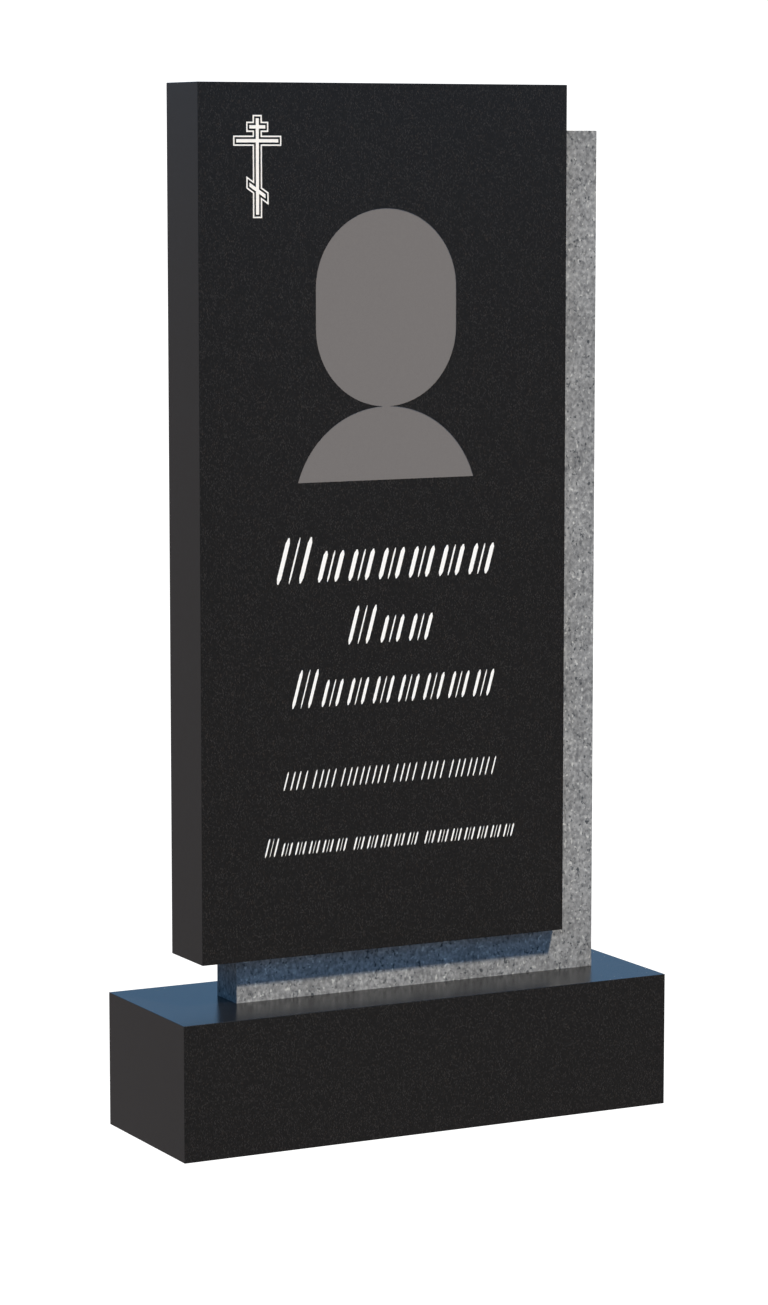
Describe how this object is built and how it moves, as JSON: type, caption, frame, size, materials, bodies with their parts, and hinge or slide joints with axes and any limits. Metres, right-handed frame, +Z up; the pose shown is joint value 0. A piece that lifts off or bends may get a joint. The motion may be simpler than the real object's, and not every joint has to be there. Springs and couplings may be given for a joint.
{
  "type": "headstone",
  "caption": "Upright headstone: a polished black tablet with an engraved cross, portrait field and rows of cuts laps over a grey granite slab on a black base.",
  "frame": {"origin": "on the ground plane, under the middle of the base's rectangular underside", "axes": "+Z up; the carved face looks along -Y towards the viewer; +X to the viewer's right, the side where the backing slab shows"},
  "size_m": [0.6, 0.2, 1.15],
  "materials": {
    "black_base_stone": "polished black gabbro with fine brown grains",
    "grey_granite": "fine-ground light grey granite with dark and pale grains",
    "black_tablet_stone": "polished black gabbro; cross and inscription cuts filled white, portrait field blasted matt grey"
  },
  "bodies": {
    "root": {"base": "black_base_stone", "backing_slab": "grey_granite", "tablet": "black_tablet_stone"}
  },
  "joints": []
}
